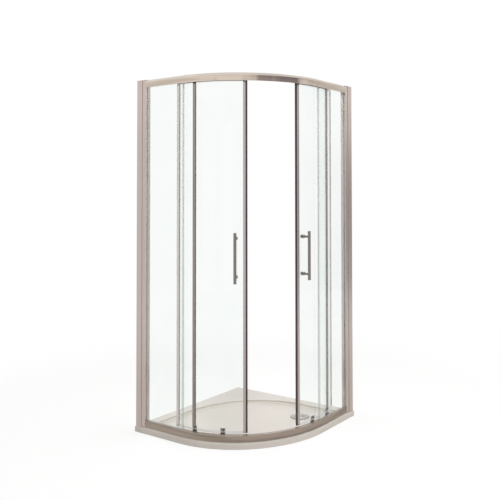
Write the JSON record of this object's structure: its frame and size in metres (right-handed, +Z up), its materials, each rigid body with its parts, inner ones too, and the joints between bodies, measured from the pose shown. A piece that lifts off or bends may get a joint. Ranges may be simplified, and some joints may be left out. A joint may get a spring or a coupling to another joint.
{
  "type": "quadrant shower enclosure",
  "caption": "Quadrant shower enclosure with a low tray, fixed panes between wall posts, and curved sliding glass doors on rollers.",
  "frame": {"origin": "middle of the tray's underside", "axes": "+Z up; the walls stand at -X and +Y, and the curved front faces +X and -Y"},
  "size_m": [0.9, 0.9, 1.98],
  "materials": {
    "tray_acrylic": "gloss white",
    "chrome": "polished",
    "bright_aluminium": "bright anodised",
    "clear_glass": "clear toughened",
    "grey_rubber": "matte",
    "dark_seal": "satin",
    "clear_seal": "translucent",
    "steel": "plain",
    "dark_plastic": "satin",
    "roller_plastic": "smooth"
  },
  "bodies": {
    "enclosure_frame": {"shower_tray": "tray_acrylic", "waste_flange": "chrome", "waste_cover": "chrome", "top_rail": "bright_aluminium", "bottom_rail": "bright_aluminium", "door_stops": "grey_rubber", "wall_profile_left": "bright_aluminium", "side_post_left": "bright_aluminium", "profile_cap_left": "bright_aluminium", "fixed_glass_left": "clear_glass", "glazing_gasket_left": "grey_rubber", "edge_seal_left": "clear_seal", "rail_brackets_left": "steel", "adjuster_screws_left": "steel", "rail_screws_left": "steel", "wall_profile_right": "bright_aluminium", "side_post_right": "bright_aluminium", "profile_cap_right": "bright_aluminium", "fixed_glass_right": "clear_glass", "glazing_gasket_right": "grey_rubber", "edge_seal_right": "clear_seal", "rail_brackets_right": "steel", "adjuster_screws_right": "steel", "rail_screws_right": "steel"},
    "left_door": {"door_glass_left": "clear_glass", "magnet_seal_left": "dark_seal", "lead_profile_left": "bright_aluminium", "trail_profile_left": "bright_aluminium", "rear_stile_left": "bright_aluminium", "drip_seal_left": "clear_seal", "door_header_left": "bright_aluminium", "handle_bar_left": "chrome", "handle_posts_left": "chrome", "handle_knobs_left": "chrome", "handle_washers_left": "clear_seal", "roller_hangers_left": "steel", "roller_axles_left": "steel", "guide_blocks_left": "dark_plastic", "guide_screws_left": "chrome"},
    "right_door": {"door_glass_right": "clear_glass", "magnet_seal_right": "dark_seal", "lead_profile_right": "bright_aluminium", "trail_profile_right": "bright_aluminium", "rear_stile_right": "bright_aluminium", "drip_seal_right": "clear_seal", "door_header_right": "bright_aluminium", "handle_bar_right": "chrome", "handle_posts_right": "chrome", "handle_knobs_right": "chrome", "handle_washers_right": "clear_seal", "roller_hangers_right": "steel", "roller_axles_right": "steel", "guide_blocks_right": "dark_plastic", "guide_screws_right": "chrome"},
    "left_front_roller": {"front_roller_left": "roller_plastic"},
    "left_rear_roller": {"rear_roller_left": "roller_plastic"},
    "right_front_roller": {"front_roller_right": "roller_plastic"},
    "right_rear_roller": {"rear_roller_right": "roller_plastic"}
  },
  "joints": [
    {"name": "left_door_slide", "type": "hinge", "parent": "enclosure_frame", "child": "left_door", "pos_m": [-0.1, 0.1, 1], "axis": [0, 0, -1], "range_deg": [-4.5, 25.5]},
    {"name": "right_door_slide", "type": "hinge", "parent": "enclosure_frame", "child": "right_door", "pos_m": [-0.1, 0.1, 1], "axis": [0, 0, 1], "range_deg": [-26.2, 3.8]},
    {"name": "left_front_roller_spin", "type": "hinge", "parent": "left_door", "child": "left_front_roller", "pos_m": [0.19677, -0.32383, 1.966], "axis": [0.5736, -0.8192, 0], "range_deg": [-259, 1440]},
    {"name": "left_rear_roller_spin", "type": "hinge", "parent": "left_door", "child": "left_rear_roller", "pos_m": [-0.03694, -0.41354, 1.966], "axis": [0.1219, -0.9925, 0], "range_deg": [-259, 1440]},
    {"name": "right_front_roller_spin", "type": "hinge", "parent": "right_door", "child": "right_front_roller", "pos_m": [0.40352, -0.01903, 1.966], "axis": [0.9732, -0.23, 0], "range_deg": [-219, 1479]},
    {"name": "right_rear_roller_spin", "type": "hinge", "parent": "right_door", "child": "right_rear_roller", "pos_m": [0.40046, 0.23129, 1.966], "axis": [0.9673, 0.2538, 0], "range_deg": [-219, 1479]}
  ],
  "couplings": [
    {"joint": "left_front_roller_spin", "follows": "left_door_slide", "ratio": 56.239},
    {"joint": "left_rear_roller_spin", "follows": "left_door_slide", "ratio": 56.239},
    {"joint": "right_front_roller_spin", "follows": "right_door_slide", "ratio": -56.239},
    {"joint": "right_rear_roller_spin", "follows": "right_door_slide", "ratio": -56.239}
  ]
}
